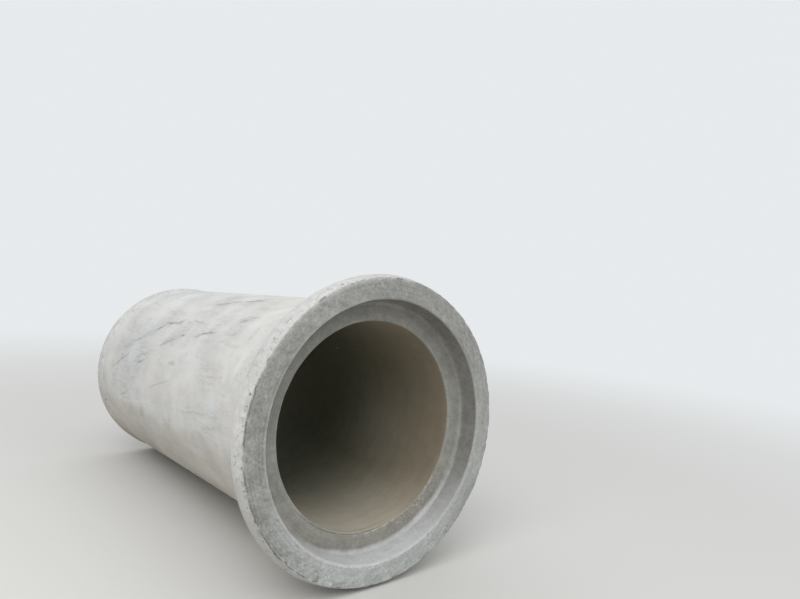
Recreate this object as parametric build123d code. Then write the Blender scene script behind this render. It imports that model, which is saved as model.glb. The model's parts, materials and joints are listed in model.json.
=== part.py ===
from build123d import *
import math
import os

# A precast concrete culvert pipe with a bell at one end and a spigot at the other, in millimetres.
# It is cast in one piece, so it is one turned solid. It is stored as it lies on a level floor, on
# the crest of its bell and on the ring of its spigot, with the bell towards -Y.
# The half section is drawn with X along the pipe, from the end face of the bell, and Y as radius.

# Waterway and barrel
BORE_DIAMETER = 1200.0
WALL = 110.0
OVERALL_LENGTH = 3060.0

# Spigot: a ring a little proud of the barrel, which rounds down to the end face
RING_LENGTH = 165.0
RING_RISE = 14.0
RING_SHOULDER = 30.0
NOSE_LENGTH = 65.0
NOSE_DROP = 20.0
SPIGOT_ARRIS = 6.0

# Socket inside the bell, which takes the spigot of the next pipe
JOINT_CLEARANCE = 4.0
SOCKET_DEPTH = 130.0
MOUTH_ARRIS = 10.0
BORE_ARRIS = 8.0

# Bell outside: the end face, a rim band that widens a little, and an ogee flare down to the barrel
FACE_WIDTH = 125.0
RIM_BAND = 60.0
RIM_RISE = 14.0
FLARE_LENGTH = 440.0
FLARE_CREST_RADIUS = 165.0

bore_radius = BORE_DIAMETER / 2
barrel_radius = bore_radius + WALL
ring_radius = barrel_radius + RING_RISE
nose_radius = ring_radius - NOSE_DROP
socket_end_radius = nose_radius + JOINT_CLEARANCE
mouth_radius = ring_radius + JOINT_CLEARANCE
face_radius = mouth_radius + FACE_WIDTH
rim_radius = face_radius + RIM_RISE

ring_start = OVERALL_LENGTH - RING_LENGTH
nose_start = OVERALL_LENGTH - NOSE_LENGTH


def level_arc_radius(length, drop):
    """Radius of an arc that starts level and falls by drop over length."""
    return (length**2 + drop**2) / (2 * drop)


def flare_turn():
    """Point where the flare's crest arc meets its root arc, each of them level at its own end."""
    drop = rim_radius - barrel_radius
    share = FLARE_CREST_RADIUS / level_arc_radius(FLARE_LENGTH, drop)
    return RIM_BAND + FLARE_LENGTH * share, rim_radius - drop * share


def bell_outside():
    """Rim band and flare, from the end face to the barrel."""
    rim = (RIM_BAND, rim_radius)
    turn = flare_turn()
    Line((0, face_radius), rim)
    TangentArc(rim, turn, tangent=(1, 0))
    TangentArc((RIM_BAND + FLARE_LENGTH, barrel_radius), turn, tangent=(-1, 0))


def spigot_outside():
    """Barrel, the ring's short rise, its level crest and the rounded nose."""
    Polyline(
        (RIM_BAND + FLARE_LENGTH, barrel_radius),
        (ring_start, barrel_radius),
        (ring_start + RING_SHOULDER, ring_radius),
        (nose_start, ring_radius),
    )
    TangentArc((nose_start, ring_radius), (OVERALL_LENGTH, nose_radius), tangent=(1, 0))


def socket_radius(depth):
    """Radius of the tapered socket wall at a depth from the end face."""
    return mouth_radius + (socket_end_radius - mouth_radius) * depth / SOCKET_DEPTH


def inside():
    """End face of the spigot, bore, shoulder, socket wall and end face, with their arrises eased."""
    Polyline(
        (OVERALL_LENGTH, nose_radius),
        (OVERALL_LENGTH, bore_radius + SPIGOT_ARRIS),
        (OVERALL_LENGTH - SPIGOT_ARRIS, bore_radius),
        (SOCKET_DEPTH + BORE_ARRIS, bore_radius),
        (SOCKET_DEPTH, bore_radius + BORE_ARRIS),
        (SOCKET_DEPTH, socket_end_radius),
        (MOUTH_ARRIS, socket_radius(MOUTH_ARRIS)),
        (0, mouth_radius + MOUTH_ARRIS),
        (0, face_radius),
    )


def turned_pipe():
    """The half section, turned about the pipe's axis."""
    with BuildPart() as pipe:
        with BuildSketch(Plane.XY):
            with BuildLine():
                bell_outside()
                spigot_outside()
                inside()
            make_face()
        revolve(axis=Axis.X)
    return pipe.part


def rest_tilt():
    """Tilt in degrees of the floor line that touches the flare's crest arc and the nose's arc."""
    nose_arc_radius = level_arc_radius(NOSE_LENGTH, NOSE_DROP)
    along = nose_start - RIM_BAND
    across = (ring_radius - nose_arc_radius) - (rim_radius - FLARE_CREST_RADIUS)
    reach = math.hypot(along, across)
    swing = math.asin((FLARE_CREST_RADIUS - nose_arc_radius) / reach)
    return math.degrees(swing - math.atan2(across, along))


def laid_down(pipe):
    """The pipe along +Y, tilted to touch the floor at both ends, centred over the origin."""
    lying = Rot(X=-rest_tilt()) * Rot(Z=90) * pipe
    box = lying.bounding_box()
    return Pos(-box.center().X, -box.center().Y, -box.min.Z) * lying


os.makedirs("parts", exist_ok=True)
culvert_pipe = laid_down(turned_pipe())
export_step(culvert_pipe, "parts/pipe.step")
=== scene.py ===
import json
import math
from types import SimpleNamespace

import bpy
import numpy as np
from bpy.props import FloatProperty, FloatVectorProperty, IntProperty, PointerProperty
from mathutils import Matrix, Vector


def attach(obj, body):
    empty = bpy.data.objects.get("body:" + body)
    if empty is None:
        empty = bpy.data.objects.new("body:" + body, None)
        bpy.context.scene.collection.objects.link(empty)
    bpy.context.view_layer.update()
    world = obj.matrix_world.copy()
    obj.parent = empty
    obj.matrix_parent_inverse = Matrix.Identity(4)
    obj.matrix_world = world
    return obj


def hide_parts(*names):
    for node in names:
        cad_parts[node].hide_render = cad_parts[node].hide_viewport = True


bl_info = {
    "name": "Concrete Culvert Pipe",
    "version": (1, 0, 0),
    "blender": (4, 5, 0),
    "location": "3D Viewport > Sidebar > Culvert Pipe",
    "description": "A precast concrete bell and spigot pipe with its cast, trowelled and worn surface",
    "category": "Add Mesh",
}

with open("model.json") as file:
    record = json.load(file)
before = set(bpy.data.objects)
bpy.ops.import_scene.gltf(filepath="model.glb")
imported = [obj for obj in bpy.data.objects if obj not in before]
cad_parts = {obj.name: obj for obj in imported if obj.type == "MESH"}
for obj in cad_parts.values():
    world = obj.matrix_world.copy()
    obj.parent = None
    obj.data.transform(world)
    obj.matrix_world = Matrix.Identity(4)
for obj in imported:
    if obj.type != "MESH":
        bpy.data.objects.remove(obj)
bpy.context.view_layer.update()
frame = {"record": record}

# The pipe's own directions: along it from the bell to the spigot, to its side and up, square to it
mounts = {mount["name"]: mount for mount in frame["record"]["mounts"]}
ALONG = -np.array(mounts["bore"]["axis"])
SIDE = np.array([1.0, 0.0, 0.0])
UP = np.cross(SIDE, ALONG)
TILT = math.atan2(ALONG[2], ALONG[1])


def on_axis(mount):
    """The point of the pipe's axis in the plane of one of its end faces."""
    middle = np.array(mounts["bore"]["pos_m"])
    return middle + ALONG * ((np.array(mounts[mount]["pos_m"]) - middle) @ ALONG)


BELL = on_axis("bell_face")
LENGTH = float((on_axis("spigot_face") - BELL) @ ALONG)

# Sizes of the pipe's section in metres, of which the frame gives the radii of the bore and the ring
BORE = mounts["bore"]["dims"]["r_mm"] / 1000
RING = mounts["spigot"]["dims"]["r_mm"] / 1000
WALL = 0.110
CLEARANCE = 0.004
FACE_WIDTH = 0.125
SOCKET_DEPTH = 0.130
BARREL = BORE + WALL
RIM_FACE = RING + CLEARANCE + FACE_WIDTH

# Scratches on the barrel: strength, metres along, degrees from up, half length and half width in metres, and
# tilt in degrees
SCRATCHES = (
    (0.95, 1.15, -20.0, 0.17, 0.020, -14),
    (1.00, 1.43, -26.2, 0.20, 0.013, -15),
    (0.75, 0.80, -36.0, 0.07, 0.013, -20),
    (0.75, 0.87, -39.0, 0.08, 0.013, -20),
    (0.95, 1.19, -50.8, 0.18, 0.012, -11),
    (0.70, 1.26, -53.0, 0.12, 0.011, -12),
    (0.60, 1.42, -45.0, 0.18, 0.011, 5),
    (1.00, 1.53, -55.5, 0.06, 0.022, -20),
    (0.70, 1.68, -60.0, 0.22, 0.012, -20),
    (0.80, 1.74, -46.5, 0.06, 0.026, -10),
    (1.00, 1.87, -47.8, 0.16, 0.013, -4),
    (1.00, 1.99, -52.8, 0.12, 0.013, -34),
    (0.80, 2.02, -75.2, 0.16, 0.013, -20),
    (0.70, 2.09, -72.6, 0.12, 0.011, -18),
    (0.65, 2.30, -64.5, 0.32, 0.012, -24),
    (0.65, 2.48, -78.0, 0.32, 0.012, -25),
    (0.38, 2.33, -97.0, 0.22, 0.012, -18),
    (0.30, 0.98, -91.0, 0.30, 0.010, -8),
    (0.30, 1.60, -84.0, 0.30, 0.012, -16),
    (0.60, 0.47, -67.0, 0.018, 0.011, 0),
    (0.80, 0.85, 74.0, 0.20, 0.014, 0),
    (0.80, 0.62, 92.0, 0.16, 0.014, 6),
    (0.90, 1.75, 58.0, 0.26, 0.014, 15),
    (0.85, 1.30, 34.0, 0.22, 0.014, -18),
    (0.75, 2.20, 105.0, 0.30, 0.014, 12),
)
# Soft smudges about the scratches, as above
SMUDGES = (
    (0.90, 1.12, -19.5, 0.20, 0.070, -14),
    (0.60, 1.40, -26.0, 0.28, 0.070, -15),
    (0.80, 0.84, -37.5, 0.15, 0.060, -14),
    (0.70, 1.22, -51.0, 0.24, 0.060, -12),
    (0.90, 1.62, -57.5, 0.22, 0.060, -18),
    (1.00, 1.84, -48.5, 0.24, 0.070, -12),
    (0.80, 2.06, -74.0, 0.24, 0.070, -19),
    (0.80, 1.45, -72.0, 0.10, 0.060, -10),
    (0.60, 2.35, -66.0, 0.40, 0.060, -23),
    (0.50, 0.61, -48.0, 0.030, 0.15, 0),
    (0.90, 1.70, 60.0, 0.34, 0.080, 14),
    (0.90, 0.80, 82.0, 0.30, 0.080, 3),
)
# Pale lines and smears, as above, and a painted highlight on the flare
PALE_MARKS_AND_HIGHLIGHT = (
    (0.60, 1.95, -98.0, 0.66, 0.010, -6),
    # A painted highlight on the flare's root, not a mark
    (0.70, 0.54, -63.0, 0.045, 0.16, 8),
    (0.60, 0.66, -30.0, 0.20, 0.055, -20),
    (0.60, 1.60, -33.0, 0.18, 0.050, -10),
    (0.50, 1.38, -64.0, 0.14, 0.040, -15),
    (0.50, 0.80, -92.0, 0.12, 0.030, 0),
    (0.45, 1.90, 82.0, 0.90, 0.010, 0),
    (0.55, 0.45, 118.0, 0.06, 0.15, 0),
)
# Angle from up of the mould's faint seam, and slant of the fine lines within the rubbed streaks, in degrees
SEAM_ANGLE = 82.0
RUB_SLANT = 16.0
# Second centre of the trowel's arcs on the end face, from the first to the side, along and up, in metres
TROWEL_CENTRE = (-0.55, 0.0, 0.25)
# What the mesh tells the material at each point: how far it belongs to each zone, and how damaged it is
ZONES = ("end_face", "bore", "socket", "rim", "ring", "arris", "mouth", "damage")

# Large odd numbers that mix a lattice corner's whole numbers and the seed into a random key, and the top key
CORNER_MIX = np.array([73856093, 19349663, 83492791])
SEED_MIX = 40503
LAST_MIX = 1274126177
TOP_KEY = 0xFFFF

# The floor's half width, and the lamp's place, what it faces and the lengths of its sides, in metres
FLOOR_REACH = 60.0
LAMP_PLACE = (-5.0, -4.0, 6.5)
LAMP_AIM = (0, 0, 0.8)
LAMP_SIDES = (6.0, 5.0)
# Light from the horizon and below, as a share of the light from straight above
LOW_SKY_SHARE = 0.30
# The camera stands where the photo was taken and looks a little lower, so that all of the pipe is in view:
# its place from the middle of the bell's end face in metres, its turn in degrees, and its lens and sensor in
# millimetres
CAMERA_FROM_BELL = (-2.197, -2.673, 0.863)
CAMERA_TURN = (87.8, -4.74, -39.56)
LENS = 28.42
SENSOR_WIDTH = 36.0


def metres(name, default, description):
    """A length that a user may change, in metres."""
    return FloatProperty(
        name=name, description=description, default=default, min=0.0, subtype="DISTANCE", unit="LENGTH"
    )


def colour(name, default, description):
    """A colour that a user may change."""
    return FloatVectorProperty(
        name=name, description=description, default=default, size=3, min=0.0, max=1.0, subtype="COLOR"
    )


class CulvertSizes(bpy.types.PropertyGroup):
    """Sizes of the pipe's section, past those that the frame gives."""

    wall: metres("Wall", WALL, "Thickness of the barrel's wall")
    ring_length: metres("Ring Length", 0.165, "Length of the spigot's ring, with its nose")
    ring_shoulder: metres("Ring Shoulder", 0.030, "Length over which the ring rises from the barrel")
    nose_length: metres("Nose Length", 0.065, "Length of the rounded end of the spigot")
    nose_drop: metres("Nose Drop", 0.020, "How far the nose falls to the end face")
    clearance: metres("Joint Clearance", CLEARANCE, "Gap between a spigot and the socket that it is in")
    socket_depth: metres("Socket Depth", SOCKET_DEPTH, "Depth of the socket inside the bell")
    face_width: metres("Face Width", FACE_WIDTH, "Width of the bell's end face")
    rim_band: metres("Rim Band", 0.060, "Length of the band behind the bell's end face")
    rim_rise: metres("Rim Rise", 0.014, "How much the rim band widens")
    flare_length: metres("Flare Length", 0.440, "Length of the flare between the rim band and the barrel")
    crest_radius: metres("Flare Crest Radius", 0.165, "Radius of the rounded crest of the flare")
    around: IntProperty(name="Around", description="Faces round the pipe", default=640, min=64, max=640)
    seed: IntProperty(name="Seed", description="Start of the random chips and voids", default=11, min=0)


class CulvertFinish(bpy.types.PropertyGroup):
    """Colours of the concrete's parts."""

    barrel: colour("Barrel", (0.625, 0.622, 0.600), "Concrete cast against the steel mould")
    cool: colour("Cement Skin", (0.625, 0.640, 0.645), "Bluish skin of fine cement")
    blush: colour("Blush", (0.630, 0.590, 0.555), "Faint pinkish clouds on the barrel")
    warm: colour("Warm Stain", (0.470, 0.435, 0.375), "Brownish stain low on the barrel")
    scratch: colour("Rubbed Streaks", (0.250, 0.250, 0.238), "Dark streaks where the barrel was rubbed")
    # This pale colour also paints highlights: on the barrel's top, on the flare and on the lit side of the
    # socket's mouth
    pale: colour("Worn Arris", (0.700, 0.705, 0.690), "Pale concrete on worn arrises and in scrapes")
    face: colour("End Face", (0.385, 0.388, 0.365), "Trowelled concrete of the end faces")
    face_low: colour("Lower End Face", (0.520, 0.545, 0.525), "Paler lower side of the end faces")
    socket: colour("Socket", (0.230, 0.226, 0.208), "Tapered wall inside the bell")
    shoulder: colour("Shoulder", (0.330, 0.326, 0.300), "Shoulder between the socket and the bore")
    # Dust colour that on the lower sides of the socket and bore also stands for painted sky light
    dust_and_sky_light: colour("Pale Dust", (0.620, 0.628, 0.632), "Dust on the socket's lower wall")
    bore: colour("Bore", (0.265, 0.227, 0.165), "Inside of the pipe near its ends")
    # The bore's colour darkened by painted shade, used further in
    bore_painted_shade: colour("Deep Bore", (0.160, 0.163, 0.114), "Inside of the pipe further in")
    # Its paleness is partly painted sky light
    bore_dust_and_light: colour("Bore Dust", (0.550, 0.500, 0.412), "Dust along the bottom of the bore")
    bore_damp: colour("Damp Dust", (0.490, 0.505, 0.425), "The same dust further in")
    pit: colour("Voids", (0.110, 0.105, 0.095), "Voids, cracks and fresh chips")
    rust: colour("Ring Stain", (0.400, 0.330, 0.240), "Brown stain on the spigot's ring")


class CulvertStage(bpy.types.PropertyGroup):
    """Floor, light and camera."""

    floor: colour("Floor", (0.670, 0.662, 0.640), "Pale concrete floor")
    backdrop: colour("Backdrop", (0.800, 0.825, 0.840), "Backdrop as the camera sees it")
    sky: FloatProperty(
        name="Sky Light", description="Strength of the light from all round", default=1.14, min=0.0
    )
    key: FloatProperty(
        name="Key Light", description="Power of the large soft lamp", default=260.0, min=0.0, unit="POWER"
    )


# Shape


def smoothstep(low, high, value):
    """0 below low, 1 above high, and a smooth rise between them; high may be the lower number."""
    share = np.clip((value - low) / (high - low), 0, 1)
    return share * share * (3 - 2 * share)


def lattice_noise(points, size, seed):
    """Smooth noise from 0 to 1: a random number at each corner of a lattice of cubes of this size, blended
    between the eight corners by the smoothstep of the place within the cube."""
    place = points / size
    cell = np.floor(place).astype(np.int64)
    share = smoothstep(0, 1, place - cell)
    total = np.zeros(points.shape[:-1])
    for corner in np.ndindex(2, 2, 2):
        key = (cell + corner) @ CORNER_MIX + seed * SEED_MIX
        key = (key ^ (key >> 13)) * LAST_MIX
        key = (key ^ (key >> 16)) & TOP_KEY
        weight = np.prod(np.where(np.array(corner) == 1, share, 1 - share), axis=-1)
        total += weight * key / TOP_KEY
    return total


def rough_noise(points, size, seed, octaves=4):
    """Noise from about -1 to 1: octaves of lattice noise, each half as large and strong as the last one."""
    total = sum(
        (2 * lattice_noise(points, size / 2**k, seed + k) - 1) / 2**k for k in range(octaves)
    )
    return total / (2 - 2.0 ** (1 - octaves))


def hump(value, centre, width):
    """1 at the centre, falling to about 0 at twice the width on each side, as a bell curve does."""
    return np.exp(-(((value - centre) / width) ** 2))


def spread(first, last, steps):
    """Even steps from the first value up to the last, which is left out."""
    return np.linspace(first, last, steps, endpoint=False)


def outside_radius(h, s):
    """Radius of the outside at each distance h from the bell's end face: the straight slope of the rim
    band, the flare's crest arc and root arc, the barrel, the ring's straight shoulder, the ring, and the
    nose's arc."""
    barrel = BORE + s.wall
    face = RING + s.clearance + s.face_width
    rim = face + s.rim_rise
    drop = rim - barrel
    both_radii = (s.flare_length**2 + drop**2) / (2 * drop)
    crest, root = s.crest_radius, both_radii - s.crest_radius
    turn = s.rim_band + s.flare_length * crest / both_radii
    flare_end = s.rim_band + s.flare_length
    ring_start = LENGTH - s.ring_length
    nose_start = LENGTH - s.nose_length
    nose = (s.nose_length**2 + s.nose_drop**2) / (2 * s.nose_drop)
    ends = (s.rim_band, turn, flare_end, ring_start, ring_start + s.ring_shoulder, nose_start)
    return np.select(
        [h < end for end in ends],
        [
            face + s.rim_rise * h / s.rim_band,
            rim - crest + np.sqrt(np.maximum(crest**2 - (h - s.rim_band) ** 2, 0)),
            barrel + root - np.sqrt(np.maximum(root**2 - (flare_end - h) ** 2, 0)),
            barrel,
            barrel + (RING - barrel) * (h - ring_start) / s.ring_shoulder,
            RING,
        ],
        RING - nose + np.sqrt(np.maximum(nose**2 - (h - nose_start) ** 2, 0)),
    )


def crowded(length, steps, finest=0.008):
    """Shares of a length between 0 and 1, evenly spaced where the steps come out short, and otherwise near
    the finest step at both ends and growing by a constant ratio towards the middle."""
    half = steps / 2
    if length / 2 <= finest * half:
        return np.linspace(0, 1, steps + 1)[1:-1]
    ratio = np.linspace(1.0, 2.0, 401)[1:]
    reach = finest * (ratio**half - 1) / (ratio - 1)
    growth = np.interp(length / 2, reach, ratio)
    walk = np.cumsum(growth ** np.minimum(np.arange(steps), np.arange(steps)[::-1]))
    return walk[:-1] / walk[-1]


def eased_path(corners, reaches, runs, turns):
    """Straight runs between corners, each corner eased by a parabola that leaves and meets its runs at a
    reach from it. The first and last corners only give the directions of the ends."""
    eased = []
    for before, corner, after, reach, steps in zip(corners, corners[1:], corners[2:], reaches, turns):
        start = corner + reach * (before - corner) / np.linalg.norm(before - corner)
        end = corner + reach * (after - corner) / np.linalg.norm(after - corner)
        t = np.linspace(0, 1, steps)[:, None]
        eased.append((1 - t) ** 2 * start + 2 * t * (1 - t) * corner + t**2 * end)
    path = [eased[0]]
    for curve, following, steps in zip(eased, eased[1:], runs):
        span = following[0] - curve[-1]
        path.append(curve[-1] + span * crowded(np.linalg.norm(span), steps)[:, None])
        path.append(following)
    return np.concatenate(path)


def section(s):
    """The pipe's half section as a closed loop of (h, radius) points: the outside from bell to spigot, then
    the spigot's face, the bore, the shoulder, the socket and the bell's face, with finer steps at turns."""
    mouth, socket_end = RING + s.clearance, RING - s.nose_drop + s.clearance
    flare_end = s.rim_band + s.flare_length
    ring_start, nose_start = LENGTH - s.ring_length, LENGTH - s.nose_length
    end_reach = 0.010
    finer = 0.04
    h = np.concatenate([
        spread(end_reach, s.rim_band, 7),
        spread(s.rim_band, flare_end, 24),
        spread(flare_end, ring_start - finer, 13),
        spread(ring_start - finer, ring_start + finer, 14),
        spread(ring_start + finer, nose_start, 5),
        spread(nose_start, LENGTH - end_reach, 8),
    ])
    outside = np.column_stack([h, outside_radius(h, s)])
    corners = np.array([
        outside[-1],
        (LENGTH, RING - s.nose_drop),
        (LENGTH, BORE),
        (s.socket_depth, BORE),
        (s.socket_depth, socket_end),
        (0, mouth),
        (0, mouth + s.face_width),
        outside[0],
    ])
    # Each of the six inner corners has its reach and steps, and each of the five runs between them its steps
    inside = eased_path(
        corners,
        reaches=(end_reach, 0.008, 0.009, 0.024, 0.014, end_reach),
        runs=(7, 21, 11, 8, 13),
        turns=(5, 4, 5, 6, 6, 5),
    )
    return np.concatenate([outside, inside[:-1]])


def bites(depth, warp, length_along, turn, radius, rng, count, along, angles, sizes, depths):
    """Adds bowl-shaped bites to a depth field: each is its depth times one less the square of the distance
    from its middle over its size, made ragged by the warp, and where bites meet the deeper one counts."""
    for _ in range(count):
        middle, angle = rng.uniform(*along), rng.uniform(*angles)
        size, deep = rng.uniform(*sizes), rng.uniform(*depths)
        rows = np.abs(length_along - middle) < 1.5 * size
        gap = (turn - angle + math.pi) % (2 * math.pi) - math.pi
        reach = ((length_along[rows, None] - middle) ** 2 + (radius[rows, None] * gap) ** 2) / size**2
        ragged = reach * (1 + 0.55 * warp[rows])
        depth[rows] = np.maximum(depth[rows], deep * np.clip(1 - ragged, 0, 1))


def pipe_relief(loop, base, turn, s):
    """How far each point stands proud of the plain turned shape along the section's normal, and how damaged
    it is. Waves are broad noise, arrises are worn back by noise, and chips and voids are random bites."""
    rng = np.random.default_rng(s.seed)
    h, radius = loop[:, 0], loop[:, 1]
    length_along = np.concatenate([[0], np.cumsum(np.linalg.norm(np.diff(loop, axis=0), axis=1))])
    closing_step = 0.006
    loop_length = length_along[-1] + closing_step
    # Length from the start of the outside, just behind the bell's outer arris, and under 0 on the end face
    from_arris = (length_along + loop_length / 2) % loop_length - loop_length / 2
    warp = rough_noise(base, 0.035, 21, 2)
    depth = np.zeros(base.shape[:2])

    def corner(corner_h, corner_radius):
        """Length along the section to its point nearest to a corner."""
        return length_along[np.argmin(np.hypot(h - corner_h, radius - corner_radius))]

    def bite(where, count, along, angles, sizes, depths):
        """Random bites between these lengths along the section, in metres, and these angles, in degrees."""
        bites(depth, warp, where, turn, radius, rng, count, along, np.radians(angles), sizes, depths)

    def wear(where, middle, width, size, seed):
        """How worn an arris is, by noise of this size."""
        return hump(where, middle, width)[:, None] * (0.5 + 0.5 * rough_noise(base, size, seed))

    ring_start = LENGTH - s.ring_length
    voids = corner(ring_start, BORE + s.wall)
    inner = corner(LENGTH, BORE)
    nose = corner(LENGTH, RING - s.nose_drop)
    lip = corner(s.socket_depth, BORE)
    all_round = (-180, 180)
    # Outer arris of the bell
    bite(from_arris, 150, (-0.010, 0.010), all_round, (0.010, 0.018), (0.0015, 0.004))
    bite(from_arris, 18, (-0.008, 0.008), all_round, (0.016, 0.030), (0.002, 0.004))
    bite(from_arris, 26, (-0.012, 0.004), (-135, -70), (0.009, 0.016), (0.003, 0.006))
    bite(from_arris, 90, (-0.004, 0.005), (60, 155), (0.010, 0.026), (0.003, 0.009))
    # Voids along the start of the ring, most of them on the side away from the camera
    bite(length_along, 330, (voids - 0.012, voids + 0.012), (20, 185), (0.009, 0.018), (0.004, 0.012))
    bite(length_along, 60, (voids - 0.010, voids + 0.014), (60, 150), (0.014, 0.030), (0.005, 0.012))
    bite(length_along, 34, (voids - 0.008, voids + 0.012), (-170, 20), (0.009, 0.014), (0.001, 0.003))
    # Arrises of the spigot and the bore
    bite(length_along, 300, (inner - 0.014, inner + 0.020), all_round, (0.010, 0.024), (0.003, 0.009))
    bite(length_along, 90, (nose - 0.016, nose + 0.016), all_round, (0.010, 0.024), (0.002, 0.005))
    bite(length_along, 26, (lip - 0.008, lip + 0.006), (60, 130), (0.012, 0.024), (0.001, 0.003))
    # Small voids on the barrel and the ring
    bite(length_along, 60, (voids - 2.3, voids), all_round, (0.010, 0.022), (0.001, 0.0025))
    bite(length_along, 70, (voids, voids + 0.11), all_round, (0.010, 0.020), (0.001, 0.004))

    bell_wear = wear(from_arris, 0.001, 0.012, 0.05, 31)
    lip_wear = wear(length_along, lip, 0.012, 0.07, 41)
    end_wear = wear(length_along, inner, 0.016, 0.05, 51)
    waves = 0.0014 * rough_noise(base, 0.60, 61, 2) + 0.0007 * rough_noise(base, 0.10, 71, 3)
    relief = waves - depth - 0.006 * bell_wear - 0.004 * lip_wear - 0.006 * end_wear
    # The bell and the ring, which bound the pipe, stay just inside their true size
    outer = radius > BORE + s.wall - 0.001
    bounding = outer & ((outside_radius(h, s) > RING - 0.001) | (h > ring_start - 0.05))
    relief[bounding] = np.minimum(relief[bounding] - 0.0005, -0.0001)
    damage = smoothstep(0.001, 0.005, depth) + 0.25 * end_wear
    return relief, np.clip(damage, 0, 1)


def section_normals(loop):
    """Directions square to the closed section and out of the concrete: the line between a point's
    neighbours, turned by a quarter."""
    tangent = np.roll(loop, -1, axis=0) - np.roll(loop, 1, axis=0)
    tangent /= np.linalg.norm(tangent, axis=1, keepdims=True)
    return np.column_stack([-tangent[:, 1], tangent[:, 0]])


def zone_weights(loop, s):
    """How much each point of the section belongs to the end faces, the bore, the socket, the rim band and
    the ring, and to the arrises round the bell's face."""
    h, radius = loop[:, 0], loop[:, 1]
    ring_start = LENGTH - s.ring_length
    mouth = RING + s.clearance
    inner = radius < mouth + 0.012
    before_bore = smoothstep(s.socket_depth + 0.012, s.socket_depth + 0.006, h)
    past_shoulder = smoothstep(s.socket_depth + 0.002, s.socket_depth + 0.010, h)
    return {
        "end_face": smoothstep(0.010, 0.001, h) + smoothstep(LENGTH - 0.010, LENGTH - 0.002, h),
        "bore": smoothstep(BORE + 0.005, BORE + 0.001, radius) * past_shoulder,
        "socket": inner * smoothstep(0.001, 0.012, h) * before_bore,
        "rim": ~inner * smoothstep(0.000, 0.010, h) * smoothstep(0.13, 0.05, h),
        "ring": (radius > BORE + 0.05) * smoothstep(ring_start - 0.02, ring_start + 0.02, h),
        "arris": hump(np.hypot(h, radius - mouth - s.face_width), 0, 0.011),
        "mouth": hump(np.hypot(h, radius - mouth), 0, 0.010),
    }


def turned_mesh(name, loop, relief, turn, attributes):
    """A closed section turned about the pipe's axis: the point at distance h and radius r, at angle a from
    up, is bell + h along + r (cos a up + sin a side), and relief moves it along the section's normal."""
    normal = section_normals(loop)
    h = loop[:, :1] + relief * normal[:, :1]
    radius = loop[:, 1:] + relief * normal[:, 1:]
    out = np.cos(turn)[:, None] * UP + np.sin(turn)[:, None] * SIDE
    points = BELL + h[..., None] * ALONG + radius[..., None] * out
    rows, columns = relief.shape
    index = np.arange(rows * columns).reshape(rows, columns)
    ahead, beside = np.roll(index, -1, axis=0), np.roll(index, -1, axis=1)
    faces = np.stack([index, beside, np.roll(ahead, -1, axis=1), ahead], axis=-1).reshape(-1, 4)
    mesh = bpy.data.meshes.new(name)
    mesh.from_pydata(points.reshape(-1, 3), [], faces)
    mesh.polygons.foreach_set("use_smooth", np.ones(len(faces), bool))
    for label, values in attributes.items():
        layer = mesh.attributes.new(label, "FLOAT", "POINT")
        layer.data.foreach_set("value", np.broadcast_to(values, relief.shape).astype(np.float32).ravel())
    mesh.update()
    return mesh


# Materials


def add(tree, kind, inputs=None, **settings):
    """A node with its settings made, and each input set to a value or linked to an output."""
    made = tree.nodes.new(kind)
    for name, value in settings.items():
        setattr(made, name, value)
    for name, value in (inputs or {}).items():
        if isinstance(value, bpy.types.NodeSocket):
            tree.links.new(value, made.inputs[name])
        else:
            made.inputs[name].default_value = value
    return made


def maths(tree, operation, *values, clamp=False):
    """The output of one sum, product or other operation."""
    inputs = dict(enumerate(values))
    return add(tree, "ShaderNodeMath", inputs, operation=operation, use_clamp=clamp).outputs[0]


def rise(tree, value, low, high):
    """0 to 1 as the value goes from low to high, smoothly."""
    inputs = {"Value": value, "From Min": low, "From Max": high}
    return add(tree, "ShaderNodeMapRange", inputs, interpolation_type="SMOOTHSTEP").outputs[0]


def noise(tree, place, scale, detail=4.0, roughness=0.55):
    """Noise from 0 to 1 at a place, with features of about one over its scale."""
    inputs = {"Vector": place, "Scale": scale, "Detail": detail, "Roughness": roughness}
    return add(tree, "ShaderNodeTexNoise", inputs).outputs[0]


def tint(tree, share, under, over, blend="MIX"):
    """One colour over another, by a share from 0 to 1."""
    made = add(tree, "ShaderNodeMix", data_type="RGBA", blend_type=blend)
    for index, value in ((0, share), (6, under), (7, over)):
        if isinstance(value, bpy.types.NodeSocket):
            tree.links.new(value, made.inputs[index])
        else:
            made.inputs[index].default_value = value if index == 0 else (*value, 1.0)
    return made.outputs[2]


def stretched(tree, place, scale, slant=0.0):
    """A place stretched along its three directions, and then turned about the third by a slant in degrees,
    so that a pattern on it runs that way."""
    inputs = {"Vector": place, "Rotation": (0, 0, math.radians(slant)), "Scale": scale}
    return add(tree, "ShaderNodeMapping", inputs).outputs[0]


def vector_maths(tree, operation, *values):
    """The output of one operation on places: a number for a length or a distance, and otherwise a place."""
    made = add(tree, "ShaderNodeVectorMath", dict(enumerate(values)), operation=operation)
    return made.outputs["Value" if operation in ("LENGTH", "DISTANCE") else "Vector"]


def named(tree, label):
    """The number that the mesh holds under a label."""
    return add(tree, "ShaderNodeAttribute", attribute_name=label).outputs["Fac"]


def grey(level):
    """An even grey."""
    return (level, level, level)


def combined(tree, operation, *values):
    """All the numbers taken together by one operation, in turn."""
    result = values[0]
    for value in values[1:]:
        result = maths(tree, operation, result, value)
    return result


def added(tree, *values):
    """All the numbers added."""
    return combined(tree, "ADD", *values)


def product(tree, *values):
    """All the numbers multiplied."""
    return combined(tree, "MULTIPLY", *values)


def greatest(tree, *values):
    """The greatest of the numbers."""
    return combined(tree, "MAXIMUM", *values)


def line(tree, value, slope, start):
    """The value times a slope, from a start."""
    return maths(tree, "MULTIPLY_ADD", value, slope, start)


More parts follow.
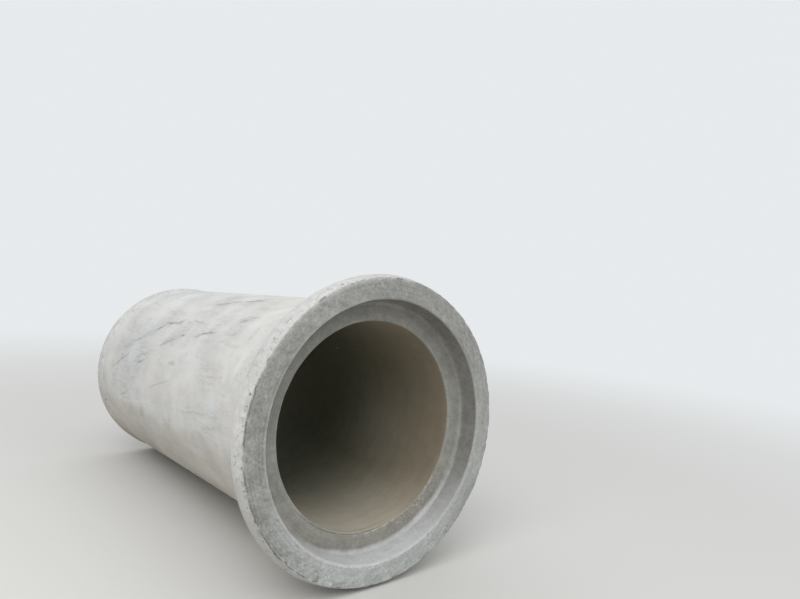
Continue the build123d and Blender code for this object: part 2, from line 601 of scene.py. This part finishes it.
def near(tree, value, centre, reach):
    """1 where the value is at the centre, falling smoothly to 0 at this reach from it."""
    return rise(tree, maths(tree, "ABSOLUTE", maths(tree, "SUBTRACT", value, centre)), reach, 0.0)


def shaded(tree, tone, texture, low, high, dark, light):
    """A tone multiplied by greys between dark and light as a texture goes from low to high."""
    greys = tint(tree, rise(tree, texture, low, high), grey(dark), grey(light))
    return tint(tree, 1.0, tone, greys, "MULTIPLY")


def wobbled(tree, place, scale, amount):
    """A place moved about by noise, up to about this amount."""
    inputs = {"Vector": place, "Scale": scale, "Detail": 1.0}
    shift = add(tree, "ShaderNodeTexNoise", inputs).outputs["Color"]
    centred = vector_maths(tree, "SUBTRACT", shift, (0.5, 0.5, 0.5))
    return vector_maths(tree, "MULTIPLY_ADD", centred, (2 * amount, 2 * amount, 2 * amount), place)


def arcs(tree, side, up, reach):
    """Noise drawn out into long arcs, each along one value of the reach."""
    place = add(tree, "ShaderNodeCombineXYZ", {0: side, 1: up, 2: reach}).outputs[0]
    return noise(tree, place, 2.0, 3.0, 0.7)


def pipe_place(tree):
    """Where a shaded point lies on the pipe, from the middle of the bell's end face: its place, its parts
    to the side, along and up, its radius and its angle from up, its place on the barrel when that is
    unrolled flat, and how far it is past the bell's outer arris. With them come the noises that all the
    zones share, from clouds half a metre across to sand, and faint rings about the axis."""
    here = add(tree, "ShaderNodeTexCoord").outputs["Object"]
    inputs = {"Vector": here, "Location": BELL, "Rotation": (TILT, 0, 0)}
    place = add(tree, "ShaderNodeMapping", inputs, vector_type="TEXTURE").outputs[0]
    side, along, up = add(tree, "ShaderNodeSeparateXYZ", {"Vector": place}).outputs
    radius = maths(tree, "SQRT", added(tree, product(tree, side, side), product(tree, up, up)))
    angle = maths(tree, "ARCTAN2", side, up)
    unrolled = add(tree, "ShaderNodeCombineXYZ", {0: along, 1: product(tree, angle, BARREL)}).outputs[0]
    return SimpleNamespace(
        place=place,
        side=side,
        along=along,
        up=up,
        radius=radius,
        angle=angle,
        unrolled=unrolled,
        past=added(tree, along, maths(tree, "SUBTRACT", radius, RIM_FACE)),
        clouds=noise(tree, place, 2.1, 6.0, 0.62),
        mottle=noise(tree, place, 10.5, 5.0, 0.67),
        fray=noise(tree, place, 28.0, 4.0, 0.66),
        sand=noise(tree, place, 62.0, 4.0, 0.76),
        rings=arcs(tree, side, up, product(tree, added(tree, radius, along), 60.0)),
    )


def streak(tree, unrolled, along, degrees, length, width, tilt):
    """A soft mark on the unrolled barrel: 1 about its middle, falling to 0 at the ellipse of this half
    length and half width, whose middle is this far along and at this angle from up."""
    inputs = {
        "Vector": unrolled,
        "Location": (along, math.radians(degrees) * BARREL, 0),
        "Rotation": (0, 0, math.radians(tilt)),
        "Scale": (length, width, 1),
    }
    local = add(tree, "ShaderNodeMapping", inputs, vector_type="TEXTURE").outputs[0]
    return rise(tree, vector_maths(tree, "LENGTH", local), 1.0, 0.15)


def streaks(tree, unrolled, marks):
    """The strongest of several streaks at each point, each given as its strength and what streak takes."""
    scaled = [product(tree, streak(tree, unrolled, *mark), strength) for strength, *mark in marks]
    return greatest(tree, *scaled)


def pits(tree, place, scale, share, size):
    """Small voids of mixed sizes: 1 near the middle of each Voronoi cell whose own random number is under
    the share."""
    inputs = {"Vector": wobbled(tree, place, 1.2 * scale, 0.12 / scale), "Scale": scale}
    cells = add(tree, "ShaderNodeTexVoronoi", inputs)
    chance, extent, _ = add(tree, "ShaderNodeSeparateColor", {"Color": cells.outputs["Color"]}).outputs
    edge = line(tree, extent, size, 0.4 * size)
    inside = maths(tree, "SUBTRACT", edge, cells.outputs["Distance"])
    return product(tree, rise(tree, inside, 0.0, 0.08), maths(tree, "LESS_THAN", chance, share))


def barrel_tone(tree, at, finish):
    """Clouded pale concrete: cement skin, a painted highlight along the top, a brownish stain low down,
    rubbed streaks and pale scrapes, and a painted highlight on the flare."""
    skin = rise(tree, noise(tree, stretched(tree, at.place, (1.0, 0.7, 1.3)), 1.7, 5.0, 0.6), 0.52, 0.60)
    tone = tint(tree, product(tree, skin, 0.60), finish.barrel, finish.cool)
    blush = rise(tree, noise(tree, at.place, 3.7, 2.0, 0.6), 0.46, 0.64)
    tone = tint(tree, product(tree, blush, 0.45), tone, finish.blush)
    # Painted highlight: the top of the barrel away from the bell is made paler, where the sky lights it most
    painted_sky_highlight = product(tree, rise(tree, at.up, 0.20, 0.60), rise(tree, at.along, 1.3, 2.7), 0.7)
    tone = tint(tree, painted_sky_highlight, tone, finish.pale)
    edge = added(tree, at.up, line(tree, at.mottle, 0.16, -0.08))
    low = added(tree, rise(tree, edge, -0.11, -0.22), rise(tree, edge, -0.2, -0.6))
    behind = line(tree, rise(tree, at.along, 0.03, 0.20), 0.33, 0.12)
    tone = tint(tree, product(tree, low, behind), tone, finish.warm)
    tone = shaded(tree, tone, at.clouds, 0.32, 0.68, 0.90, 1.06)
    lengthwise = noise(tree, stretched(tree, at.place, (1.0, 0.40, 1.0)), 9.0, 5.0, 0.66)
    tone = shaded(tree, tone, lengthwise, 0.32, 0.68, 0.94, 1.04)

    # Streaks are broken up by fine slanting lines, and finer hairs lie between them
    rubbed = wobbled(tree, wobbled(tree, at.unrolled, 3.5, 0.018), 20.0, 0.010)
    comb = noise(tree, stretched(tree, rubbed, (5, 30, 1), RUB_SLANT), 1.0, 5.0, 0.70)
    drift = noise(tree, stretched(tree, rubbed, (1.1, 9, 1), RUB_SLANT), 1.6, 4.0, 0.60)
    hairs = product(tree, near(tree, drift, 0.50, 0.022), rise(tree, at.clouds, 0.60, 0.42), 0.30)
    combed = line(tree, rise(tree, comb, 0.36, 0.52), 0.75, 0.25)
    thin = greatest(tree, product(tree, streaks(tree, rubbed, SCRATCHES), combed), hairs)
    smudged = product(tree, streaks(tree, rubbed, SMUDGES), rise(tree, comb, 0.38, 0.64), 0.56)
    tone = tint(tree, greatest(tree, product(tree, thin, 0.95), smudged), tone, finish.scratch)
    return tint(tree, streaks(tree, rubbed, PALE_MARKS_AND_HIGHLIGHT), tone, finish.pale)


def face_tone(tree, at, finish):
    """Trowelled end face: mottled and sandy, with darker blotches and a pale upper edge on the near side,
    paler on its lower side and low on its far side, palest low by the mouth, and faint arcs of two centres."""
    beside = product(tree, rise(tree, at.side, 0.30, 0.80), rise(tree, at.up, 0.40, -0.30), 0.36)
    paler = greatest(tree, rise(tree, at.up, -0.25, -0.85), beside)
    tone = tint(tree, paler, finish.face, finish.face_low)
    blotches = rise(tree, added(tree, at.mottle, line(tree, at.fray, 0.8, -0.40)), 0.47, 0.62)
    nearer = line(tree, rise(tree, at.side, 0.1, -0.5), 0.65, 0.35)
    tone = tint(tree, product(tree, blotches, nearer, 0.62), tone, finish.socket)
    tone = shaded(tree, tone, at.clouds, 0.35, 0.65, 0.93, 1.08)
    tone = shaded(tree, tone, at.fray, 0.37, 0.63, 0.87, 1.09)
    outer_edge = rise(tree, at.radius, RIM_FACE - 0.041, RIM_FACE + 0.005)
    tone = tint(tree, product(tree, outer_edge, near(tree, at.angle, -0.58, 1.02), 0.70), tone, finish.pale)
    paler_low_by_mouth = product(tree, rise(tree, at.radius, 0.82, 0.74), rise(tree, at.up, -0.10, -0.60), 0.45)
    tone = tint(tree, paler_low_by_mouth, tone, finish.dust_and_sky_light)
    aside = vector_maths(tree, "DISTANCE", at.place, TROWEL_CENTRE)
    for brushed in (at.rings, arcs(tree, at.side, at.up, product(tree, aside, 30.0))):
        tone = shaded(tree, tone, brushed, 0.32, 0.68, 0.90, 1.08)
    return shaded(tree, tone, at.sand, 0.34, 0.66, 0.86, 1.12)


def socket_tone(tree, at, finish):
    """Inside of the bell: smooth and mottled, with painted shade darkening its top and painted light
    brightening its bottom, and painted shade darkening the upper shoulder towards the corner; the wall a
    little darker than the shoulder and brownish at its top, where painted shade darkens it, with a rougher
    patch of brown and pale grains beside the bore, and pale dusty colour on what faces up and in a crescent
    along the bottom of the corner, which on the wall is partly painted sky light and fades towards the corner
    as painted shade."""
    olive = product(tree, rise(tree, at.up, -0.20, -0.60), 0.22)
    tone = tint(tree, olive, finish.shoulder, finish.bore)
    # Painted shade darkens the top of the shoulder, and painted light brightens its bottom
    tone = shaded(tree, tone, at.up, -0.10, 0.70, 1.06, 0.86)
    # Painted shade: the upper shoulder darkens towards the corner
    painted_corner_shade = rise(tree, at.radius, BORE + 0.025, BORE + 0.100)
    tone = tint(tree, product(tree, painted_corner_shade, rise(tree, at.up, -0.15, 0.45), 0.55), tone, finish.socket)

    wall = rise(tree, at.along, SOCKET_DEPTH - 0.003, SOCKET_DEPTH - 0.030)
    wall_tone = tint(tree, product(tree, rise(tree, at.up, 0.30, 0.72), 0.25), finish.socket, finish.bore)
    # Painted shade darkens the top of the wall
    tone = tint(tree, wall, tone, shaded(tree, wall_tone, at.up, 0.30, 0.72, 1.0, 0.86))
    tone = shaded(tree, tone, at.mottle, 0.32, 0.68, 0.89, 1.08)
    tone = shaded(tree, tone, at.fray, 0.34, 0.66, 0.92, 1.06)
    tone = shaded(tree, tone, at.rings, 0.32, 0.68, 0.94, 1.05)

    rougher = product(tree, near(tree, at.angle, 2.45, 0.65), rise(tree, at.radius, BORE + 0.10, BORE + 0.03))
    tone = tint(tree, product(tree, rougher, rise(tree, at.fray, 0.44, 0.58), 0.26), tone, finish.bore)
    tone = tint(tree, product(tree, rougher, rise(tree, at.sand, 0.52, 0.60), 0.40), tone, finish.dust_and_sky_light)

    ragged = added(tree, at.radius, line(tree, at.mottle, 0.024, -0.012))
    crescent = rise(tree, line(tree, at.up, -0.081, line(tree, at.side, 0.022, ragged)), 0.731, 0.757)
    corner = rise(tree, at.along, SOCKET_DEPTH - 0.032, SOCKET_DEPTH - 0.018)
    filled = product(tree, crescent, corner, rise(tree, at.up, -0.16, -0.52), 0.74)
    # Pale colour on the wall's lower side: partly dust, partly painted sky light, and thinner towards the
    # corner as painted shade
    leaning = rise(tree, line(tree, at.side, 0.17, at.up), -0.04, -0.80)
    settled_dust_and_light = product(tree, wall, leaning, line(tree, rise(tree, at.along, 0.11, 0.05), 0.10, 0.90))
    uneven = line(tree, rise(tree, at.mottle, 0.35, 0.60), 0.15, 0.85)
    tone = tint(tree, product(tree, greatest(tree, filled, settled_dust_and_light), uneven), tone, finish.dust_and_sky_light)
    return shaded(tree, tone, at.sand, 0.34, 0.66, 0.92, 1.06)


def bore_tone(tree, at, finish):
    """Inside of the pipe: olive brown and darkened with depth by painted shade, faint rings, a pale dusty
    bottom that is partly painted sky light, a fainter pale patch of painted light on the far side, and pale
    specks."""
    # Painted shade: the bore darkens with depth from both ends, and its dust thins there
    from_spigot = rise(tree, at.along, LENGTH - 0.15, LENGTH - 0.95)
    deep = product(tree, rise(tree, at.along, 0.28, 1.38), from_spigot)
    tone = tint(tree, deep, finish.bore, finish.bore_painted_shade)
    # Pale colour along the bottom, partly dust and partly painted sky light, and a fainter patch on the far
    # side that is painted light from the mouth
    lower = rise(tree, line(tree, at.side, 0.42, at.up), -0.05, -0.68)
    beside = product(tree, near(tree, at.along, 0.85, 0.60), near(tree, at.angle, 1.82, 0.85), 0.42)
    uneven = line(tree, rise(tree, at.clouds, 0.30, 0.60), 0.12, 0.88)
    dust_and_sky_light = product(tree, greatest(tree, lower, beside), uneven, line(tree, deep, -0.56, 1.0))
    tone = tint(tree, dust_and_sky_light, tone, tint(tree, deep, finish.bore_dust_and_light, finish.bore_damp))
    hoops = stretched(tree, at.place, (0.6, 14.0, 0.6))
    tone = shaded(tree, tone, noise(tree, hoops, 2.4, 3.0, 0.6), 0.30, 0.70, 0.97, 1.025)
    tone = shaded(tree, tone, at.mottle, 0.32, 0.68, 0.945, 1.05)
    specks = pits(tree, at.place, 12.0, 0.05, 0.10)
    return tint(tree, product(tree, specks, 0.8), tone, finish.dust_and_sky_light)


def lip_cracks(tree, at, tone, finish):
    """A brown stain on the lower far part of the bore's lip, and at its bottom a dark crack that crosses it
    aslant, a fainter one behind it, and pale crumbs before it."""
    lip = product(tree, near(tree, at.radius, BORE, 0.016), near(tree, at.along, SOCKET_DEPTH + 0.008, 0.030))
    tone = tint(tree, product(tree, lip, near(tree, at.angle, 2.25, 0.75), 0.45), tone, finish.bore)
    wavy = line(tree, at.mottle, 0.010, at.along)
    past = maths(tree, "SUBTRACT", wavy, at.radius)
    aslant = added(tree, past, line(tree, at.side, -0.045, BORE - SOCKET_DEPTH + 0.005))
    first = product(tree, near(tree, aslant, 0.0155, 0.0065), rise(tree, at.up, -0.34, -0.46))
    first = product(tree, first, rise(tree, at.fray, 0.36, 0.50))
    second = near(tree, wavy, SOCKET_DEPTH + 0.053, 0.005)
    second = product(tree, second, rise(tree, at.up, -0.44, -0.53), 0.8)
    close = near(tree, at.radius, BORE, 0.03)
    nearer = rise(tree, at.side, 0.20, 0.02)
    cracks = product(tree, greatest(tree, first, second), close, nearer, 0.92)
    tone = tint(tree, cracks, tone, finish.pit)
    crumbs = product(tree, near(tree, aslant, 0.003, 0.006), rise(tree, at.fray, 0.46, 0.56))
    crumbs = product(tree, crumbs, near(tree, at.side, 0.05, 0.35), rise(tree, at.up, -0.48, -0.55), close)
    return tint(tree, product(tree, crumbs, 0.8), tone, finish.dust_and_sky_light)


def outer_stains(tree, at, zone, tone, finish):
    """A brown stain low and on the far side of the spigot's ring, greyer concrete on rim and ring, and the
    rim darker towards its bottom.
    """
    rust = rise(tree, noise(tree, stretched(tree, at.place, (2.0, 6.0, 2.0)), 1.3, 4.0, 0.65), 0.40, 0.66)
    stained = greatest(tree, rise(tree, at.up, -0.1, -0.6), rise(tree, at.side, 0.1, 0.6))
    tone = tint(tree, product(tree, zone.ring, rust, stained, 0.8), tone, finish.rust)
    greyed = product(tree, greatest(tree, zone.rim, zone.ring), rise(tree, at.fray, 0.40, 0.64), 0.40)
    lower = product(tree, zone.rim, rise(tree, at.up, 0.15, -0.55), 0.40)
    return tint(tree, greatest(tree, greyed, lower), tone, finish.face)


def pale_arrises(tree, at, zone, tone, finish):
    """Pale wear on the bell's outer arris, and on the lit part of the socket's mouth wear with a painted
    highlight, broken up by noise.
    """
    worn = product(tree, zone.arris, rise(tree, at.fray, 0.34, 0.60), 0.50)
    tone = tint(tree, worn, tone, finish.pale)
    # The mouth's pale line is partly wear and partly a painted highlight, on its lit side only
    beneath = product(tree, rise(tree, at.up, 0.1, -0.5), rise(tree, at.side, 0.62, 0.15))
    lit = greatest(tree, rise(tree, at.side, 0.1, -0.3), beneath)
    rubbed = product(tree, zone.mouth, lit, rise(tree, at.fray, 0.28, 0.56), 0.68)
    return tint(tree, rubbed, tone, finish.pale)


def open_voids(tree, at, zone):
    """How open a void or crack is at a point, and how dark the point is with all that is broken. Voids are
    thick on the rim and the ring and rare elsewhere, a ragged crack runs inside the bell's outer arris, and
    that arris is crumbly behind."""
    near_side = product(tree, rise(tree, at.angle, -0.85, -1.20), rise(tree, at.angle, -2.85, -2.50))
    clustered = rise(tree, noise(tree, at.place, 4.5, 2.0, 0.6), 0.40, 0.60)
    front = product(tree, zone.rim, rise(tree, at.along, 0.07, 0.0))
    edges = added(tree, front, product(tree, zone.ring, 0.25), product(tree, zone.end_face, 0.03))
    many = line(tree, edges, clustered, 0.004)
    many = product(tree, many, maths(tree, "SUBTRACT", 1.0, zone.bore))
    large = pits(tree, at.place, 46.0, product(tree, many, line(tree, near_side, 0.2, 0.5)), 0.25)
    small = pits(tree, at.place, 100.0, product(tree, many, 0.55), 0.32)
    thin = near(tree, line(tree, at.fray, 0.044, at.past), 0.014, 0.0072)
    lower_near = product(tree, near_side, rise(tree, at.angle, -1.00, -1.30))
    broken = rise(tree, line(tree, lower_near, 0.11, at.mottle), 0.55, 0.61)
    crack = product(tree, thin, broken, near(tree, at.radius, RIM_FACE, 0.04))
    hole = greatest(tree, large, crack)
    grains = product(tree, rise(tree, at.sand, 0.55, 0.65), rise(tree, at.past, -0.012, 0.0))
    behind = product(tree, rise(tree, at.past, 0.075, 0.0), clustered)
    crumbly = product(tree, grains, behind, near(tree, at.radius, RIM_FACE, 0.05), 0.60)
    voids = product(tree, greatest(tree, hole, small), 0.80)
    return hole, greatest(tree, voids, product(tree, zone.damage, 0.35), crumbly)


def grain_height(tree, at, zone, hole):
    """Height of the surface in millimetres: fine sand all over, rougher on the end faces and the broken
    arrises, with the open voids sunk into it and the mould's faint seam along it."""
    trowelled = added(tree, zone.end_face, product(tree, zone.rim, 0.4))
    rough = maths(tree, "ADD", trowelled, zone.damage, clamp=True)
    height = product(tree, noise(tree, at.place, 90.0, 6.0, 0.72), line(tree, rough, 2.2, 0.8))
    height = maths(tree, "SUBTRACT", height, product(tree, hole, 2.5))
    outside = rise(tree, at.radius, BARREL - 0.01, BARREL)
    seam = product(tree, near(tree, at.angle, math.radians(SEAM_ANGLE), 0.004), outside)
    return added(tree, height, product(tree, seam, 1.5))


def concrete_material(finish):
    """Cast concrete: a pale clouded barrel with painted highlights, grey trowelled end faces, a dusty socket
    and bore with painted shade and painted sky light, worn arrises with a painted highlight on the socket's
    mouth, a stained ring and dark voids."""
    material = bpy.data.materials.new("cast_concrete")
    material.use_nodes = True
    tree = material.node_tree
    shader = tree.nodes["Principled BSDF"]
    at = pipe_place(tree)
    zone = SimpleNamespace(**{label: named(tree, label) for label in ZONES})

    tone = outer_stains(tree, at, zone, barrel_tone(tree, at, finish), finish)
    tone = tint(tree, zone.end_face, tone, face_tone(tree, at, finish))
    tone = tint(tree, zone.socket, tone, socket_tone(tree, at, finish))
    tone = tint(tree, zone.bore, tone, bore_tone(tree, at, finish))
    tone = lip_cracks(tree, at, tone, finish)
    tone = pale_arrises(tree, at, zone, tone, finish)
    hole, dark = open_voids(tree, at, zone)
    tree.links.new(tint(tree, dark, tone, finish.pit), shader.inputs["Base Color"])

    inputs = {"Strength": 1.0, "Distance": 0.001, "Height": grain_height(tree, at, zone, hole)}
    tree.links.new(add(tree, "ShaderNodeBump", inputs).outputs[0], shader.inputs["Normal"])
    shader.inputs["Roughness"].default_value = 0.9
    shader.inputs["Specular IOR Level"].default_value = 0.3
    return material


def stage_material(stage):
    """Pale floor that fades into the backdrop with distance, as the camera sees it."""
    material = bpy.data.materials.new("stage_floor")
    material.use_nodes = True
    tree = material.node_tree
    shader = tree.nodes["Principled BSDF"]
    shader.inputs["Base Color"].default_value = (*stage.floor, 1.0)
    shader.inputs["Roughness"].default_value = 0.9
    shader.inputs["Specular IOR Level"].default_value = 0.2
    distance = vector_maths(tree, "LENGTH", add(tree, "ShaderNodeTexCoord").outputs["Object"])
    ray = add(tree, "ShaderNodeLightPath").outputs["Is Camera Ray"]
    far = product(tree, rise(tree, distance, 2.5, 11.0), ray)
    glow = add(tree, "ShaderNodeEmission", {"Color": (*stage.backdrop, 1.0), "Strength": 1.0})
    blended = add(tree, "ShaderNodeMixShader", {0: far, 1: shader.outputs[0], 2: glow.outputs[0]})
    tree.links.new(blended.outputs[0], tree.nodes["Material Output"].inputs["Surface"])
    return material


def studio_world(stage):
    """Soft light from all round, strongest from above as under a clouded sky, and the backdrop's colour for
    the camera."""
    world = bpy.data.worlds.new("studio")
    world.use_nodes = True
    tree = world.node_tree
    light = tree.nodes["Background"]
    light.inputs["Color"].default_value = (0.97, 0.985, 1.0, 1.0)
    direction = add(tree, "ShaderNodeTexCoord").outputs["Generated"]
    height = add(tree, "ShaderNodeSeparateXYZ", {"Vector": direction}).outputs["Z"]
    inputs = {"Value": height, "To Min": LOW_SKY_SHARE * stage.sky, "To Max": stage.sky}
    tree.links.new(add(tree, "ShaderNodeMapRange", inputs).outputs[0], light.inputs["Strength"])
    seen = add(tree, "ShaderNodeBackground", {"Color": (*stage.backdrop, 1.0), "Strength": 1.0})
    ray = add(tree, "ShaderNodeLightPath").outputs["Is Camera Ray"]
    blended = add(tree, "ShaderNodeMixShader", {0: ray, 1: light.outputs[0], 2: seen.outputs[0]})
    tree.links.new(blended.outputs[0], tree.nodes["World Output"].inputs["Surface"])
    return world


# Operators


def put_in_scene(name, data):
    """A new object in the scene."""
    made = bpy.data.objects.new(name, data)
    bpy.context.scene.collection.objects.link(made)
    return made


class CulvertBuildPipe(bpy.types.Operator):
    """Build the cast, trowelled and worn surface of the pipe"""

    bl_idname = "culvert.build_pipe"
    bl_label = "Build Pipe"

    def execute(self, context):
        s = context.scene.culvert_sizes
        loop = section(s)
        turn = spread(-math.pi, math.pi, s.around)
        out = np.cos(turn)[:, None] * UP + np.sin(turn)[:, None] * SIDE
        base = BELL + loop[:, :1, None] * ALONG + loop[:, 1:, None] * out
        relief, damage = pipe_relief(loop, base, turn, s)
        attributes = {label: weight[:, None] for label, weight in zone_weights(loop, s).items()}
        mesh = turned_mesh("culvert_pipe", loop, relief, turn, attributes | {"damage": damage})
        mesh.materials.append(concrete_material(context.scene.culvert_finish))
        piece = put_in_scene("culvert_pipe", mesh)
        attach(piece, "root")
        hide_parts("pipe")
        return {"FINISHED"}


class CulvertBuildStage(bpy.types.Operator):
    """Lay the floor, and set the light, the backdrop and the camera"""

    bl_idname = "culvert.build_stage"
    bl_label = "Build Stage"

    def execute(self, context):
        stage = context.scene.culvert_stage
        mesh = bpy.data.meshes.new("floor")
        corners = FLOOR_REACH * np.array([(-1, -1, 0), (1, -1, 0), (1, 1, 0), (-1, 1, 0)], float)
        mesh.from_pydata(corners, [], [(0, 1, 2, 3)])
        mesh.materials.append(stage_material(stage))
        put_in_scene("floor", mesh)
        context.scene.world = studio_world(stage)

        lamp = bpy.data.lights.new("key", "AREA")
        lamp.shape = "RECTANGLE"
        lamp.size, lamp.size_y = LAMP_SIDES
        lamp.energy = stage.key
        key = put_in_scene("key", lamp)
        key.location = LAMP_PLACE
        key.rotation_euler = (Vector(LAMP_AIM) - key.location).to_track_quat("-Z", "Y").to_euler()

        lens = bpy.data.cameras.new("camera")
        lens.sensor_width, lens.lens = SENSOR_WIDTH, LENS
        camera = put_in_scene("camera", lens)
        camera.location = Vector(BELL) + Vector(CAMERA_FROM_BELL)
        camera.rotation_euler = [math.radians(angle) for angle in CAMERA_TURN]
        context.scene.camera = camera
        context.scene.view_settings.view_transform = "Standard"
        return {"FINISHED"}


class CulvertPanel(bpy.types.Panel):
    """Sizes, finish and buttons of the culvert pipe"""

    bl_idname = "CULVERT_PT_pipe"
    bl_label = "Culvert Pipe"
    bl_space_type = "VIEW_3D"
    bl_region_type = "UI"
    bl_category = "Culvert Pipe"

    def draw(self, context):
        for group in (context.scene.culvert_sizes, context.scene.culvert_finish, context.scene.culvert_stage):
            box = self.layout.box()
            for label in group.__annotations__:
                box.prop(group, label)
        for operator in (CulvertBuildPipe, CulvertBuildStage):
            self.layout.operator(operator.bl_idname)


classes = (CulvertSizes, CulvertFinish, CulvertStage, CulvertBuildPipe, CulvertBuildStage, CulvertPanel)


def register():
    for item in classes:
        bpy.utils.register_class(item)
    bpy.types.Scene.culvert_sizes = PointerProperty(type=CulvertSizes)
    bpy.types.Scene.culvert_finish = PointerProperty(type=CulvertFinish)
    bpy.types.Scene.culvert_stage = PointerProperty(type=CulvertStage)


def unregister():
    del bpy.types.Scene.culvert_sizes
    del bpy.types.Scene.culvert_finish
    del bpy.types.Scene.culvert_stage
    for item in reversed(classes):
        bpy.utils.unregister_class(item)


def main():
    """Builds everything."""
    register()
    bpy.ops.culvert.build_pipe()
    bpy.ops.culvert.build_stage()


if __name__ == "__main__":
    main()
